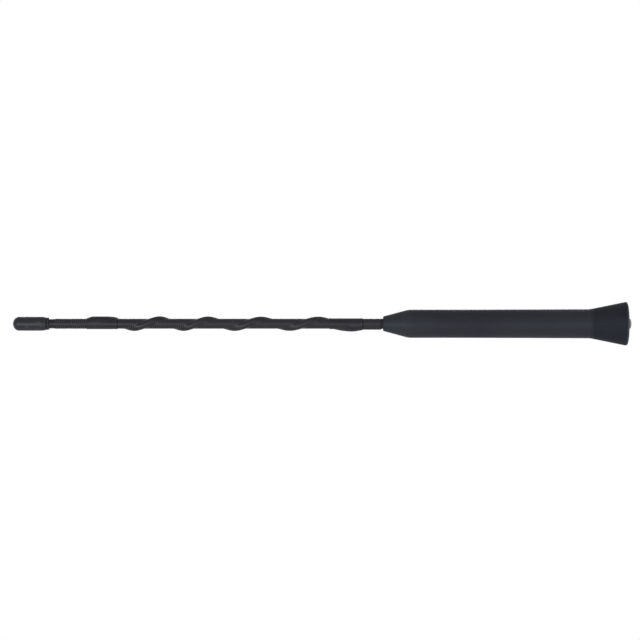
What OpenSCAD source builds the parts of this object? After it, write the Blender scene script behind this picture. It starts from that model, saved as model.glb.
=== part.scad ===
// Short mast aerial for a car roof.
// A glass fibre rod carries the aerial wire. A cord is wound round it in a long
// left-handed spiral, which stops the wind from whistling, and one shrunk sleeve
// covers rod, wire and cord. The lower end is moulded into a thick rubber grip
// with a hollow foot, and a metal stud inside the foot screws into the roof base.
// The mast stands along +Z. Z = 0 is the seat of the foot, on the stud's axis.

/* [Mast] */
// Diameter of the glass fibre rod
rod_d = 2.6; // [2:0.1:3.4]
// Diameter of the aerial wire
wire_d = 0.22; // [0.16:0.02:0.4]
// Distance from one turn of the aerial wire to the next
wire_pitch = 0.7; // [0.5:0.05:1.5]
// Wall of the shrunk sleeve
sleeve_wall = 0.26; // [0.2:0.02:0.5]
// How far the sleeve draws in above the last turn of wire
sleeve_draw_in = 0.08; // [0.02:0.02:0.14]
// Bare mast between the grip and the lower band
mast_root = 7.6; // [3:0.1:30]
// Bare mast between the upper band and the tip cap
mast_top = 13.8; // [5:0.1:60]

/* [Spiral cord] */
// Diameter of the cord
cord_d = 0.85; // [0.5:0.05:1.4]
// Number of turns of the cord, in steps of half a turn
cord_turns = 4.5; // [2:0.5:6]
// Pitch of the spiral at its lower end
pitch_low = 22.2; // [14:0.1:30]
// Pitch of the spiral at its upper end
pitch_high = 16.6; // [12:0.1:30]
// Straight length of cord below the spiral
tail_low = 3.8; // [1:0.1:12]
// Straight length of cord above the spiral
tail_high = 7.7; // [1:0.1:12]
// Angle from the middle of the cord to the foot of the tent that the sleeve makes over it
tent_angle = 76; // [60:1:88]
// Length of the sleeve's slope past each end of the cord
tent_len = 2.5; // [1.5:0.1:4]

/* [Cord bands] */
// Wall of the bands that hold down the ends of the cord
band_wall = 0.14; // [0.08:0.02:0.3]
// How far each band reaches past the end of the cord
band_past_cord = 1.6; // [0.5:0.1:4]
// Length of the lower band
band_low_len = 12.2; // [6:0.1:20]
// Length of the upper band
band_high_len = 11.3; // [6:0.1:20]

/* [Tip cap] */
// Length of the cap
cap_len = 13.5; // [9:0.1:25]
// Wall of the cap round the mast
cap_wall = 0.81; // [0.7:0.01:1.6]
// Height of the blunt dome
cap_dome = 2.3; // [1:0.1:4]
// Solid plastic between the end of the mast and the tip
cap_end = 3.6; // [2.5:0.1:6]
// Length of the conical lip at the open end
cap_lip_len = 0.8; // [0.4:0.05:1.5]
// Thickness of the lip's edge
cap_lip_edge = 0.1; // [0.05:0.01:0.2]
// Depth of the groove above the lip
cap_groove = 0.14; // [0.05:0.01:0.2]
// Length of the slope above the groove
cap_slope_len = 1.3; // [0.5:0.1:3]
// How much the radius falls over that slope
cap_slope = 0.26; // [0.1:0.02:0.3]

/* [Grip] */
// Height of the grip, from its seat to its mouth
grip_len = 90.4; // [70:0.1:140]
// Diameter of the straight upper part
grip_d = 10.45; // [9:0.05:14]
// How much thicker the grip is where the flare begins
grip_swell = 0.35; // [0:0.05:1.5]
// Distance from the mouth to where that thickening begins
swell_from = 32.2; // [15:0.1:50]
// Length of the cone under the mouth
cone_len = 9.4; // [5:0.1:14]
// Wall of the grip round the mast at its mouth
mouth_wall = 0.83; // [0.6:0.01:1.5]
// Radius of the rounded edge at the mouth
mouth_edge = 0.3; // [0.1:0.05:0.5]

/* [Foot] */
// Diameter of the foot
foot_d = 16.2; // [14:0.1:20]
// Height of the flare
flare_h = 13.8; // [11:0.1:20]
// Radius of the foot's outer edge
foot_edge = 0.6; // [0.2:0.05:0.7]
// Wall of the hollow foot
foot_wall = 1.6; // [1.4:0.05:2.2]
// Depth of the hollow
foot_depth = 8.5; // [6:0.1:10]
// Chamfer inside the foot's rim
rim_chamfer = 0.3; // [0.1:0.05:0.5]

/* [Stud fitting] */
// Outer diameter of the stud's thread
stud_d = 5; // [4:0.5:6]
// How far the stud reaches past the seat
stud_past_seat = 1.5; // [1.3:0.1:4]
// Chamfer at the end of the thread
stud_chamfer = 0.65; // [0.4:0.05:0.8]
// Height of the rounded nose beyond the chamfer
stud_nose = 0.6; // [0.3:0.05:0.8]
// Length of the relief groove above the thread
relief_len = 0.8; // [0.4:0.1:1.5]
// Depth of the relief groove
relief_depth = 0.5; // [0.2:0.05:0.7]
// Diameter of the flange in the roof of the hollow
flange_d = 8.2; // [7:0.1:8.6]
// Thickness of the flange
flange_h = 1.4; // [1:0.1:2.5]
// Diameter of the groove above the flange
neck_d = 5.4; // [4.8:0.1:6]
// Height of that groove
neck_h = 1.2; // [0.8:0.1:2]
// Diameter of the knurled part that the moulding grips
knurl_d = 6.8; // [6.4:0.1:7.6]
// Height of the knurled part
knurl_h = 8; // [5:0.1:12]
// Number of knurl teeth
knurl_teeth = 30; // [20:1:40]
// Depth of the knurl teeth
knurl_depth = 0.25; // [0.1:0.05:0.4]
// Wall of the plain socket above the knurl
socket_wall = 1.2; // [0.8:0.05:1.4]
// Height of the plain socket
socket_h = 5; // [3:0.1:8]
// Depth to which the rod is set in the fitting
rod_depth = 11; // [7:0.1:13]

/* [Fits] */
// Clearance between pieces that are glued, moulded or shrunk together
snug = 0.03; // [0.025:0.005:0.05]
// Wire left uncovered between the fitting and the sleeve, where it is soldered
solder_gap = 3; // [1:0.1:8]

/* [Detail] */
// Points round the sleeve, and rings to each turn of the spiral
ring_points = 20; // [20:2:28]

/* [Hidden] */
$fn = 64;

// Radii, from the rod outwards
rod_r = rod_d / 2;
wire_in = rod_r + snug;
wire_out = wire_in + wire_d;
sleeve_in = wire_out + snug;
sleeve_out = sleeve_in + sleeve_wall;
band_in = sleeve_out + snug;
band_out = band_in + band_wall;
cord_mid = sleeve_in + cord_d / 2;
tent_height = cord_d + snug;
cap_bore = sleeve_out - sleeve_draw_in + snug;
cap_r = cap_bore + cap_wall;

// Heights, from the seat upwards
flange_z = foot_depth;
neck_z = flange_z + flange_h;
knurl_z = neck_z + neck_h;
socket_z = knurl_z + knurl_h;
fitting_top = socket_z + socket_h;
rod_z = fitting_top - rod_depth;
wire_z = fitting_top + snug;
sleeve_z = fitting_top + solder_gap;
band_low_z = grip_len + mast_root;
band_low_top = band_low_z + band_low_len;
cord_z = band_low_z + band_past_cord;
spiral_z = cord_z + tail_low;
spiral_top = spiral_z + cord_turns * (pitch_low + pitch_high) / 2;
cord_top = spiral_top + tail_high;
band_high_top = cord_top + band_past_cord;
band_high_z = band_high_top - band_high_len;
cap_z = band_high_top + mast_top;
mast_end = cap_z + cap_len - cap_end - snug;

// The wire stops just short of the cap, and the sleeve draws in over this length
wire_to_cap = 2.2;
draw_in_len = 0.5;
wire_top = cap_z - wire_to_cap;

// Small edges
wire_root = wire_d * 0.7;
rod_chamfer = 0.2;
socket_chamfer = 0.4;
mouth_lead = 0.25;
past = 0.01;

// Points of an arc of an ellipse, from one angle to another
function arc(x, z, rx, rz, from, to, steps = 8) =
    [for (i = [0:steps]) let (a = from + (to - from) * i / steps) [x + rx * cos(a), z + rz * sin(a)]];

// A value that eases from 0 to 1 while t goes from 0 to 1
function ease(t) = let (c = min(max(t, 0), 1)) c * c * (3 - 2 * c);

// The spiral: its height after a share of its turns, and the cord's angle at each ring.
// The cord lies at angle 0 at its upper end, and turns left-handed towards the grip.
ring_count = ceil(cord_turns * ring_points);
function spiral_height(share) =
    spiral_z + cord_turns * (pitch_low * share + (pitch_high - pitch_low) * share * share / 2);
spiral = [for (i = [0:ring_count]) let (share = i / ring_count)
    [spiral_height(share), 360 * cord_turns * (1 - share)]];
function cord_angle(z) = lookup(z, spiral);

// How far the cord's own section is stretched sideways where it slants across the mast
slant_span = 1;
function slant(z) =
    let (turn = cord_angle(z - slant_span) - cord_angle(z + slant_span),
         sideways = cord_mid * turn * PI / 180)
    sqrt(1 + pow(sideways / (2 * slant_span), 2));

// How much of its full height the tent over the cord has at a height on the mast
function tent_share(z) =
    ease((z - cord_z + tent_len) / tent_len) * ease((cord_top + tent_len - z) / tent_len);

// The tent's section: highest over the cord, and down to nothing at tent_angle on each side
function tent_section(turned) =
    let (off = min(turned, 360 - turned)) off < tent_angle ? pow(cos(90 * off / tent_angle), 2) : 0;

// Heights of the sleeve's rings: rings along the spiral, closer ones on the end slopes, and
// one at each end of the bands, so that the bands' rings lie on the sleeve's
slope_steps = 5;
ring_space = 0.1;
band_ends = [band_low_z, band_low_top, band_high_z, band_high_top];
form_heights = concat(
    [for (i = [0:slope_steps]) cord_z - tent_len * (1 - i / slope_steps)],
    [for (s = spiral) s[0]],
    [for (i = [0:slope_steps]) cord_top + tent_len * i / slope_steps],
    [for (i = [0:slope_steps - 1]) wire_top + draw_in_len * i / (slope_steps - 1)]);
function is_at_band_end(z) = min([for (e = band_ends) abs(z - e)]) < ring_space;
function sorted(list) = len(list) < 2 ? list :
    let (middle = list[floor(len(list) / 2)])
    concat(
        sorted([for (z = list) if (z < middle) z]), [middle],
        sorted([for (z = list) if (z > middle) z]));
ring_heights = sorted(concat([for (z = form_heights) if (!is_at_band_end(z)) z], band_ends));

// The heights between two ends, with the ends themselves
function heights(from, to) = concat(
    [from], [for (z = ring_heights) if (z > from + ring_space && z < to - ring_space) z], [to]);

// One ring round the mast, at radius r where no cord lies under it
function ring(z, r) =
    let (draw = sleeve_draw_in * ease((z - wire_top) / draw_in_len),
         tent = tent_height * tent_share(z))
    [for (i = [0:ring_points - 1])
        let (turned = 360 * i / ring_points,
             a = cord_angle(z) + turned,
             out = r - draw + tent * tent_section(turned))
        [out * cos(a), out * sin(a), z]];

// Triangles between rings of points that follow each other upwards
function skin(rings, points, first) = [
    for (i = [0:rings - 2], j = [0:points - 1])
        let (k = (j + 1) % points, low = first + i * points, high = low + points)
        for (face = [[low + j, high + j, high + k], [low + j, high + k, low + k]]) face];
function turned_over(faces) = [for (f = faces) [f[2], f[1], f[0]]];

// A shell that hugs the mast and tents over the cord
module hugging_shell(from, to, r_in, r_out) {
    zs = heights(from, to);
    n = len(zs);
    m = ring_points;
    outside = [for (z = zs) each ring(z, r_out)];
    inside = [for (z = zs) each ring(z, r_in)];
    top = (n - 1) * m;
    low_end = [for (j = [0:m - 1]) let (k = (j + 1) % m) [j, k, n * m + k, n * m + j]];
    high_end = [for (j = [0:m - 1]) let (k = (j + 1) % m)
        [top + j, n * m + top + j, n * m + top + k, top + k]];
    polyhedron(
        points = concat(outside, inside),
        faces = concat(skin(n, m, 0), turned_over(skin(n, m, n * m)), low_end, high_end),
        convexity = 8);
}

// The cord, swept along its straight ends and its spiral
cord_sides = 8;
module spiral_cord() {
    zs = heights(cord_z, cord_top);
    n = len(zs);
    points = [for (z = zs, i = [0:cord_sides - 1])
        let (a = cord_angle(z), b = 360 * i / cord_sides,
             out = cord_mid + cord_d / 2 * cos(b), side = cord_d / 2 * slant(z) * sin(b))
        [out * cos(a) - side * sin(a), out * sin(a) + side * cos(a), z]];
    last = (n - 1) * cord_sides;
    color("#6d6f72")
        polyhedron(
            points = points,
            faces = concat(
                skin(n, cord_sides, 0),
                [[for (i = [0:cord_sides - 1]) i]],
                [[for (i = [0:cord_sides - 1]) last + cord_sides - 1 - i]]),
            convexity = 8);
}

module shrunk_sleeve() {
    color("#3b3a3f") hugging_shell(sleeve_z, mast_end, sleeve_in, sleeve_out);
}

module lower_cord_band() {
    color("#36353a") hugging_shell(band_low_z, band_low_top, band_in, band_out);
}

module upper_cord_band() {
    color("#36353a") hugging_shell(band_high_z, band_high_top, band_in, band_out);
}

module fibreglass_rod() {
    color("#d9d2b4") rotate_extrude() polygon([
        [0, rod_z + snug], [rod_r - rod_chamfer, rod_z + snug], [rod_r, rod_z + snug + rod_chamfer],
        [rod_r, mast_end - rod_chamfer], [rod_r - rod_chamfer, mast_end], [0, mast_end]]);
}

// The wire's close turns, as one rippled sleeve: a crest on each turn and a hollow between
module aerial_wire() {
    turns = floor((wire_top - wire_z) / wire_pitch);
    pitch = (wire_top - wire_z) / turns;
    ripple = [for (i = [0:turns - 1]) each
        [[wire_out - wire_root, wire_z + pitch * i], [wire_out, wire_z + pitch * (i + 0.5)]]];
    color("#b06a3c") rotate_extrude() polygon(concat(
        ripple, [[wire_out - wire_root, wire_top], [wire_in, wire_top], [wire_in, wire_z]]));
}

// The cap, from its lip and the groove above it to its dome
module tip_cap() {
    lip_r = cap_r - cap_slope;
    slope_z = cap_lip_len + 2 * cap_groove;
    shell = concat(
        [[0, 0], [cap_bore + cap_lip_edge, 0], [lip_r, cap_lip_len],
         [lip_r - cap_groove, cap_lip_len + cap_groove], [lip_r, slope_z],
         [cap_r, slope_z + cap_slope_len]],
        arc(0, cap_len - cap_dome, cap_r, cap_dome, 0, 90, 12));
    color("#44474d") translate([0, 0, cap_z]) difference() {
        rotate_extrude() polygon(shell);
        translate([0, 0, -past]) cylinder(r = cap_bore, h = cap_len - cap_end + past);
    }
}

// Radius of the flare at a height above the seat
foot_r = foot_d / 2;
swell_r = (grip_d + grip_swell) / 2;
function flare_r(z) = foot_r + (swell_r - foot_r) * (z - foot_edge) / (flare_h - foot_edge);

// Steps of the fitting above the hollow: radius, lower height, upper height
fitting_steps = [
    [flange_d / 2, flange_z, neck_z],
    [neck_d / 2, neck_z, knurl_z],
    [knurl_d / 2, knurl_z, socket_z],
    [rod_r + snug + socket_wall, socket_z, fitting_top]];

// The room that the moulding leaves for the fitting, the wire and the mast
module mast_room() {
    for (s = fitting_steps)
        translate([0, 0, s[1] - snug]) cylinder(r = s[0] + snug, h = s[2] - s[1] + 2 * snug);
    cylinder_from(fitting_top, sleeve_z, wire_out + snug);
    cylinder_from(sleeve_z - snug, grip_len + past, sleeve_out + snug);
    translate([0, 0, grip_len - mouth_lead])
        cylinder(r1 = sleeve_out + snug, r2 = sleeve_out + snug + mouth_lead + past, h = mouth_lead + past);
}

module cylinder_from(low, high, r) {
    translate([0, 0, low]) cylinder(r = r, h = high - low);
}

// The hollow under the flare, with a chamfered rim
module foot_hollow() {
    rim_r = foot_r - foot_wall;
    roof_r = flare_r(foot_depth) - foot_wall;
    rotate_extrude() polygon([
        [0, -past], [rim_r + rim_chamfer + past, -past], [rim_r, rim_chamfer],
        [roof_r, foot_depth], [0, foot_depth]]);
}

module grip() {
    mouth_r = sleeve_out + snug + mouth_wall;
    lean = atan((foot_r - swell_r) / (flare_h - foot_edge));
    cone_lean = atan((grip_d / 2 - mouth_r) / cone_len);
    outline = concat(
        [[0, 0]],
        arc(foot_r - foot_edge, foot_edge, foot_edge, foot_edge, -90, lean, 7),
        [[swell_r, flare_h], [grip_d / 2, grip_len - swell_from], [grip_d / 2, grip_len - cone_len]],
        arc(mouth_r - mouth_edge, grip_len - mouth_edge, mouth_edge, mouth_edge, cone_lean, 90, 5),
        [[0, grip_len]]);
    color("#33353b") difference() {
        rotate_extrude() polygon(outline);
        foot_hollow();
        mast_room();
    }
}

// One straight-toothed knurl
module knurl() {
    step = 180 / knurl_teeth;
    linear_extrude(height = knurl_h) polygon([for (i = [0:2 * knurl_teeth - 1])
        let (r = knurl_d / 2 - (i % 2) * knurl_depth) [r * cos(step * i), r * sin(step * i)]]);
}

module stud_fitting() {
    stud_r = stud_d / 2;
    relief_r = stud_r - relief_depth;
    thread_end = stud_nose + stud_chamfer - stud_past_seat;
    nose_r = stud_r - stud_chamfer;
    socket_r = rod_r + snug + socket_wall;
    stud = concat(
        arc(0, stud_nose - stud_past_seat, nose_r, stud_nose, -90, 0, 6),
        [[stud_r, thread_end], [stud_r, flange_z - relief_len - relief_depth],
         [relief_r, flange_z - relief_len], [relief_r, flange_z],
         [flange_d / 2, flange_z], [flange_d / 2, neck_z], [neck_d / 2, neck_z],
         [neck_d / 2, knurl_z], [0, knurl_z]]);
    color("#a5a89c") difference() {
        union() {
            rotate_extrude() polygon(stud);
            translate([0, 0, knurl_z]) knurl();
            rotate_extrude() polygon([
                [0, socket_z], [socket_r, socket_z], [socket_r, fitting_top - socket_chamfer],
                [socket_r - socket_chamfer, fitting_top], [0, fitting_top]]);
        }
        translate([0, 0, rod_z]) cylinder(r = rod_r + snug, h = rod_depth + past);
    }
}

grip();
stud_fitting();
fibreglass_rod();
aerial_wire();
spiral_cord();
shrunk_sleeve();
lower_cord_band();
upper_cord_band();
tip_cap();
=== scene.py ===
"""Models and finishes a short roof mast aerial round its packed frame.

The mast stands along +Z with its foot at the origin. Its pieces are modelled here in place of the
frame's solids, apart from the rod, which keeps its solid.
"""

import math

import bmesh
import bpy
from bpy.props import FloatProperty, FloatVectorProperty, IntProperty, PointerProperty
from mathutils import Matrix, Vector, noise


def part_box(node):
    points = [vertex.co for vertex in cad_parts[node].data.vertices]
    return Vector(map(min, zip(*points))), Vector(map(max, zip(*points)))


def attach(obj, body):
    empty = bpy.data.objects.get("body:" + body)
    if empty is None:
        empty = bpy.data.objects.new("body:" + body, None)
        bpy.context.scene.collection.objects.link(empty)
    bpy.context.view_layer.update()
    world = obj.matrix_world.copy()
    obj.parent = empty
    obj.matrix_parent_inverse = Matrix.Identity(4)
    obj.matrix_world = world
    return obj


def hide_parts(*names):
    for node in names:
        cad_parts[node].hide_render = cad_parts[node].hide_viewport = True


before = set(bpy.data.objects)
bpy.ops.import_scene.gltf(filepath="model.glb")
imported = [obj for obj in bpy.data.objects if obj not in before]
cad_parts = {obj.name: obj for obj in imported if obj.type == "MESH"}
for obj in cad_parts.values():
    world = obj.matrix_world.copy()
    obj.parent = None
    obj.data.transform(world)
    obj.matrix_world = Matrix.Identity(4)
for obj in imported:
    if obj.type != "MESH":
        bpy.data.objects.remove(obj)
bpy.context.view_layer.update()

bl_info = {
    "name": "Roof mast aerial",
    "version": (1, 0, 0),
    "blender": (4, 5, 0),
    "location": "View3D > Sidebar > Aerial",
    "description": "Models a short roof mast aerial round its frame, with its finishes and a studio",
    "category": "Object",
}

MM = 0.001


def node_ends(node):
    """Lower and upper height of a solid of the frame."""
    low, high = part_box(node)
    return low.z, high.z


SEAT_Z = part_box("grip")[0].z
MOUTH_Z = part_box("grip")[1].z
SLEEVE_ENDS = node_ends("shrunk_sleeve")
LOWER_BAND_ENDS = node_ends("lower_cord_band")
UPPER_BAND_ENDS = node_ends("upper_cord_band")
CORD_ENDS = node_ends("spiral_cord")
WIRE_ENDS = node_ends("aerial_wire")
ROD_ENDS = node_ends("fibreglass_rod")
ROD_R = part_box("fibreglass_rod")[1].x
CAP_ENDS = node_ends("tip_cap")
CAP_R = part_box("tip_cap")[1].x
FITTING_ENDS = node_ends("stud_fitting")


def millimetres(name, description, value):
    """A length that shows in the sidebar, given in millimetres."""
    return FloatProperty(
        name=name, description=description, default=value * MM, unit="LENGTH", precision=6
    )


def degrees(name, description, value):
    """An angle that shows in the sidebar, given in degrees."""
    return FloatProperty(
        name=name, description=description, default=math.radians(value), subtype="ANGLE"
    )


def hex_to_linear(code):
    """An sRGB hex colour as linear red, green, blue and alpha."""
    channels = [int(code[i : i + 2], 16) / 255 for i in (1, 3, 5)]
    linear = [c / 12.92 if c <= 0.04045 else ((c + 0.055) / 1.055) ** 2.4 for c in channels]
    return (*linear, 1.0)


def colour(name, description, code):
    """A colour that shows in the sidebar, given as sRGB hex."""
    return FloatVectorProperty(
        name=name,
        description=description,
        default=hex_to_linear(code),
        size=4,
        subtype="COLOR",
        min=0,
        max=1,
    )


class AerialCord(bpy.types.PropertyGroup):
    """The cord under the sleeve, and the tent that the sleeve makes over it."""

    turn_in: millimetres("Turn-in", "Length over which the cord eases into its spiral", 4.5)
    width: millimetres("Cord width", "Diameter of the cord before it is flattened", 0.85)
    gap: millimetres("Cord gap", "Gap between the cord and the sleeve", 0.03)
    strand_depth: FloatProperty(name="Strands", description="Depth of its strands", default=0.12)
    lay: millimetres("Lay", "Length in which the strands wind once round the cord", 3.6)
    lean: degrees("Lean", "Angle between the cord and the mast", 35)
    tent_angle: degrees("Tent angle", "From the cord to the foot of the sleeve's tent", 76)
    band_angle: degrees("Band angle", "From the cord to the foot of a band's tent", 92)
    low_slope: millimetres("Low slope", "Length of the sleeve's slope at the cord's lower end", 6.9)
    low_reach: millimetres("Low reach", "How far below the cord that slope ends", 4.4)
    high_slope: millimetres("High slope", "Length of the slope at the cord's upper end", 2.8)
    high_reach: millimetres("High reach", "How far above the cord that slope ends", 2)
    root_ridge: millimetres("Root ridge", "Ridge of glue below the cord's lower end", 0.38)


class AerialSleeve(bpy.types.PropertyGroup):
    """The shrunk sleeve and the two bands over it."""

    radius: millimetres("Sleeve radius", "Outer radius where no cord lies under it", 1.84)
    wall: millimetres("Sleeve wall", "Wall of the sleeve", 0.26)
    draw_in: millimetres("Draw-in", "How far the sleeve draws in above the wire", 0.08)
    rib_pitch: millimetres("Rib pitch", "Distance between the ribs that the wire makes", 0.74)
    rib_height: millimetres("Rib height", "Height of a rib where it shows best", 0.08)
    wobble: millimetres("Wobble", "Unevenness left by shrinking", 0.012)
    band_gap: millimetres("Band gap", "Gap between the sleeve and a band", 0.03)
    band_wall: millimetres("Band wall", "Wall of a band", 0.14)
    band_settle: millimetres("Band settle", "Length over which a band's end hugs the mast", 1.5)
    band_lip: millimetres("Band lip", "How far a band's rolled edge stands up", 0.1)
    band_lip_len: millimetres("Band lip length", "Length of that rolled edge", 0.45)
    sides: IntProperty(name="Sides", description="Points round the sleeve", default=48, min=24)


class AerialWire(bpy.types.PropertyGroup):
    """The copper wire wound on the rod."""

    wire_r: millimetres("Wire radius", "Radius of the wire", 0.11)
    gap: millimetres("Wire gap", "Gap between the wire and the rod", 0.03)
    start: degrees("Start", "Angle at which the winding starts", 52.6)
    steps: IntProperty(name="Steps", description="Steps in each turn", default=20, min=8)


class AerialCap(bpy.types.PropertyGroup):
    """The moulded tip cap."""

    bore_r: millimetres("Cap bore", "Radius of the bore", 1.79)
    bore_end: millimetres("Cap end", "Solid plastic between the bore and the tip", 3.6)
    dome: millimetres("Cap dome", "Height of the blunt dome", 2.3)
    lip_len: millimetres("Lip length", "Length of the bulging lip at the mouth", 0.8)
    lip_edge: millimetres("Lip edge", "Thickness of the lip's edge", 0.1)
    groove: millimetres("Groove", "Depth of the groove above the lip", 0.2)
    slope_len: millimetres("Slope length", "Length of the slope above the groove", 1.3)
    slope: millimetres("Slope", "How much the radius falls over that slope", 0.26)


class AerialGrip(bpy.types.PropertyGroup):
    """The moulded grip and its hollow foot."""

    mouth_r: millimetres("Mouth radius", "Outer radius at the mouth", 2.7)
    mouth_lead: millimetres("Mouth lead-in", "Lead-in of the bore at the mouth", 0.25)
    cone_len: millimetres("Cone length", "Length of the cone under the mouth", 9.4)
    grip_r: millimetres("Grip radius", "Radius of the straight upper part", 5.225)
    swell_from: millimetres("Swell start", "From the mouth to where the grip swells", 32.2)
    swell_r: millimetres("Swell radius", "Radius where the flare begins", 5.4)
    flare_h: millimetres("Flare height", "Height at which the flare begins", 13.8)
    foot_r: millimetres("Foot radius", "Radius to which the flare's cone runs", 8.22)
    foot_edge: millimetres("Foot edge", "Width of the rounding of the foot's edge", 0.85)
    rim_r: millimetres("Rim radius", "Inner radius of the seat", 6.65)
    roof_r: millimetres("Roof radius", "Radius of the hollow's roof", 4.88)
    clearance: millimetres("Clearance", "Between the rubber and what it is moulded over", 0.03)


class AerialFitting(bpy.types.PropertyGroup):
    """The turned stud fitting."""

    thread_r: millimetres("Thread radius", "Outer radius of the stud's thread", 2.5)
    thread_pitch: millimetres("Thread pitch", "Pitch of the stud's thread", 0.8)
    thread_depth: millimetres("Thread depth", "Depth of the thread", 0.46)
    chamfer: millimetres("Chamfer", "Chamfer at the end of the thread", 0.65)
    nose: millimetres("Nose", "Height of the rounded nose", 0.6)
    relief: millimetres("Relief", "Depth of the relief groove above the thread", 0.5)
    relief_len: millimetres("Relief length", "Length of the relief groove", 0.8)
    flange_r: millimetres("Flange radius", "Radius of the flange", 4.1)
    flange_z: millimetres("Flange height", "Height of the flange's face", 8.5)
    flange_h: millimetres("Flange thickness", "Thickness of the flange", 1.4)
    neck_r: millimetres("Neck radius", "Radius of the groove above the flange", 2.7)
    neck_h: millimetres("Neck height", "Height of that groove", 1.2)
    knurl_r: millimetres("Knurl radius", "Radius over the knurl", 3.4)
    knurl_h: millimetres("Knurl height", "Height of the knurl", 8)
    knurl_depth: millimetres("Knurl depth", "Depth of the knurl's teeth", 0.25)
    socket_r: millimetres("Socket radius", "Outer radius of the rod's socket", 2.53)
    socket_edge: millimetres("Socket edge", "Chamfer round the socket's mouth", 0.4)


class AerialColours(bpy.types.PropertyGroup):
    """Colours of the finishes."""

    rubber: colour("Rubber", "Moulded rubber of the grip", "#202229")
    # Lighter rubber: above the flare, towards the cone, and in random patches
    rubber_light: colour("Worn rubber", "Rubber where hands rub it", "#2f3237")
    # Painted highlight on the rounding of the foot's edge
    rubber_edge_highlight: colour("Scuffed rubber", "The foot's edge, which rubs on the base", "#46484d")
    rubber_shine: colour("Rubber shine", "Tint of the rubber's shine", "#eef6ff")
    sleeve: colour("Sleeve", "Shrunk polyolefin sleeve", "#17161a")
    sleeve_worn: colour("Worn sleeve", "Sleeve where it is rubbed", "#2a292c")
    # Painted highlight on the sleeve's ribs
    sleeve_rib_highlight: colour("Rib", "Sleeve's ribs, rubbed pale", "#403f45")
    sleeve_shine: colour("Sleeve shine", "Tint of the sleeve's shine", "#f4f2ff")
    cap: colour("Cap", "Moulded plastic of the cap", "#242529")
    cap_shine: colour("Cap shine", "Tint of the cap's shine", "#f0f6ff")
    cap_scuffed: colour("Scuffed cap", "Scuffs on the cap", "#3c4048")
    # Painted shade in grooves, in corners and between the sleeve's ribs; the darker ring above the
    # grip's mouth is painted with it too
    shade_and_ring_colour: colour("Grime", "Grime in grooves and corners", "#100f12")
    plating: colour("Plating", "Zinc plating on the stud", "#b4b8aa")
    plating_dull: colour("Dull plating", "Zinc plating in the thread's roots", "#83877c")
    glass_fibre: colour("Glass fibre", "Resin and glass of the rod", "#cdc59a")
    glass_fibre_dark: colour("Fibre streaks", "Streaks between the rod's fibres", "#b3a878")
    copper: colour("Copper", "Enamelled copper of the wire", "#a8582f")
    copper_dark: colour("Dark copper", "Enamel in the gaps between turns", "#4c2413")
    nylon: colour("Nylon", "Nylon of the cord", "#5c5e62")
    nylon_dark: colour("Dark nylon", "Gaps between the cord's strands", "#34363a")
    floor: colour("Floor", "Pale studio floor", "#ecebea")


class AerialStudio(bpy.types.PropertyGroup):
    """Camera, lamps and floor."""

    distance: millimetres("Camera distance", "From the camera to the mast", 950)
    view_width: millimetres("View width", "What the picture's width spans at the mast", 236.8)
    view_z: millimetres("View height", "Height on the mast of the picture's middle", 113.7)
    view_x: millimetres("View offset", "How far the picture's middle lies above the mast", 1.38)
    floor_z: millimetres("Floor", "Height of the floor", -60)
    floor_r: millimetres("Floor radius", "Radius of the floor", 400)
    ambient: FloatProperty(name="Ambient", description="Strength of the world's light", default=0.19)
    key: FloatProperty(name="Key", description="Power of the key lamp in watts", default=1.42)
    tip_lamp: FloatProperty(name="Tip lamp", description="Power of the lamp by the tip", default=1.78)
    side_lamp: FloatProperty(name="Side lamp", description="Power of the lamp beyond it", default=2.5)
    top_fill: FloatProperty(name="Top fill", description="Power of the lamp above", default=0.3)
    low_fill: FloatProperty(name="Low fill", description="Power of the lamp below", default=0.5)
    back: FloatProperty(name="Back", description="Power of each lamp behind", default=1.2)
    floor_glow: FloatProperty(
        name="Floor glow", description="How white the camera sees the floor", default=0.65
    )


GROUPS = {
    "aerial_cord": AerialCord,
    "aerial_sleeve": AerialSleeve,
    "aerial_wire": AerialWire,
    "aerial_cap": AerialCap,
    "aerial_grip": AerialGrip,
    "aerial_fitting": AerialFitting,
    "aerial_colours": AerialColours,
    "aerial_studio": AerialStudio,
}

# Where the cord lies on one side of the mast and then on the other, from the grip upwards: its
# height, and how far it lifts the sleeve there, in millimetres. It was wound by hand and shrunk
# under, so both are uneven.
CROSSINGS = (
    (103.2, 0.94),
    (114.5, 0.80),
    (124.8, 0.82),
    (135.7, 0.80),
    (145.2, 0.86),
    (155.3, 0.88),
    (164.1, 0.82),
    (172.9, 0.96),
    (182.8, 0.87),
    (190.9, 0.72),
)

# Points round each turned piece. The fitting's knurl has a tooth for every four of them.
SIDES = 128
FITTING_SIDES = 120
POINTS_PER_TOOTH = 4

# Two points closer than this are in the same place
NEAR = 0.004 * MM


def ease(share):
    """From 0 to 1 with soft ends while share goes from 0 to 1."""
    share = min(max(share, 0.0), 1.0)
    return share * share * (3 - 2 * share)


def arc(x, z, rx, rz, start, end, steps):
    """Points of an arc of an ellipse, as radius and height, between two angles in degrees."""
    angles = [math.radians(start + (end - start) * i / steps) for i in range(steps + 1)]
    return [(x + rx * math.cos(a), z + rz * math.sin(a)) for a in angles]


def select_only(piece):
    """Leaves one object selected and active."""
    bpy.ops.object.select_all(action="DESELECT")
    piece.select_set(True)
    bpy.context.view_layer.objects.active = piece


def select_edges(piece, wanted):
    """In edit mode, selects the edges for which wanted says true."""
    bpy.ops.mesh.select_all(action="DESELECT")
    bpy.ops.mesh.select_mode(type="EDGE")
    mesh = bmesh.from_edit_mesh(piece.data)
    for edge in mesh.edges:
        edge.select_set(wanted(edge))
    mesh.select_flush_mode()
    bmesh.update_edit_mesh(piece.data)


def radius_of(point):
    """Distance of a point from the mast's axis."""
    return math.hypot(point.x, point.y)


def lies_on_ring(edge, radius, height):
    """Whether an edge is part of the ring of that radius and height."""
    return all(
        abs(v.co.z - height) < NEAR and abs(radius_of(v.co) - radius) < NEAR for v in edge.verts
    )


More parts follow.
